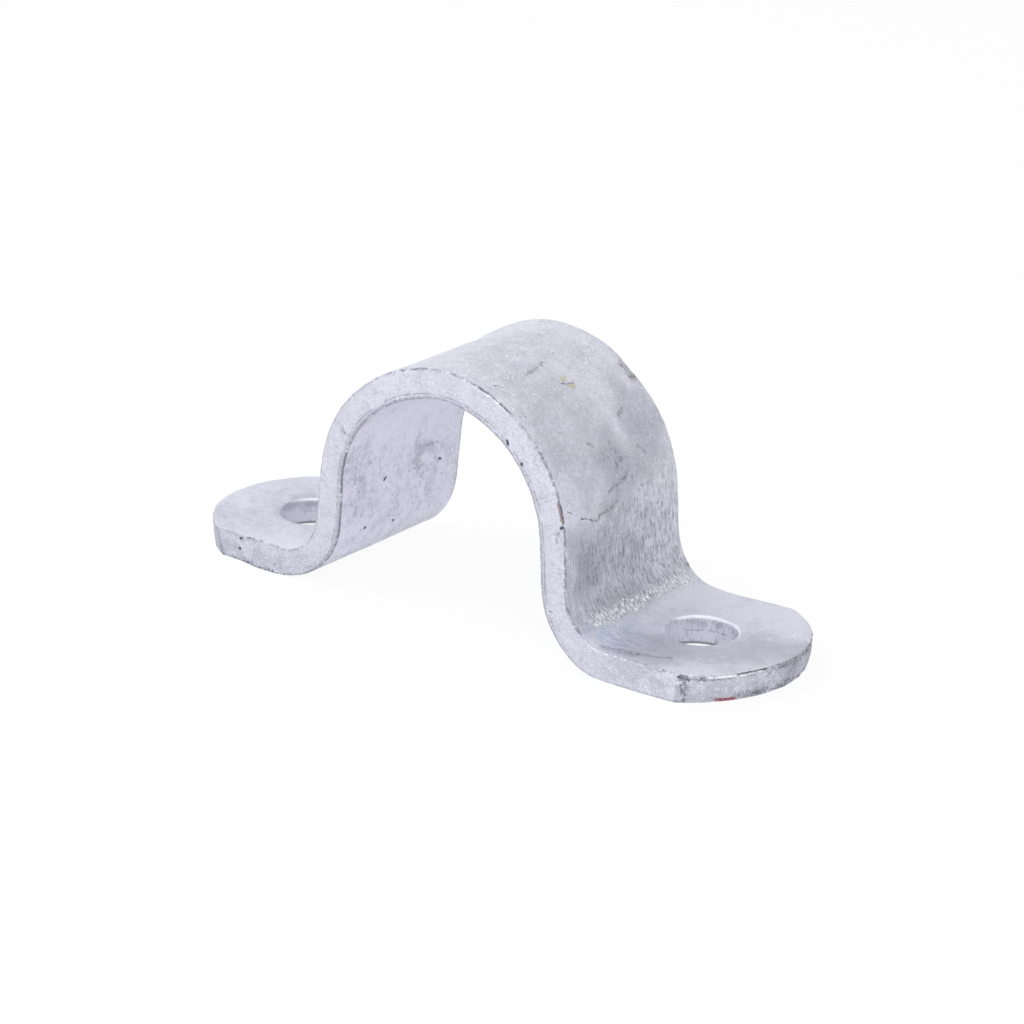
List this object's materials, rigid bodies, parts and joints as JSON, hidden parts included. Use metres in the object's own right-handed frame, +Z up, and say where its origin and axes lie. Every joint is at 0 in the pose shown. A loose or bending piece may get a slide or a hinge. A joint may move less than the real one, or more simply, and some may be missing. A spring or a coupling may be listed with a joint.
{
  "type": "pipe clamp",
  "caption": "Flat steel bar bent into a half-round saddle over a pipe, with two flat rounded feet, each punched for a bolt.",
  "frame": {"origin": "under the middle of the arch, on the plane that both feet stand on", "axes": "+X along the strap from foot to foot, +Y along the pipe, +Z up out of the support"},
  "size_m": [0.1399, 0.04, 0.0535],
  "materials": {
    "zinc_coat": "hot-dip galvanised, matt and faintly mottled"
  },
  "bodies": {
    "root": {"saddle_strap": "zinc_coat"}
  },
  "joints": []
}
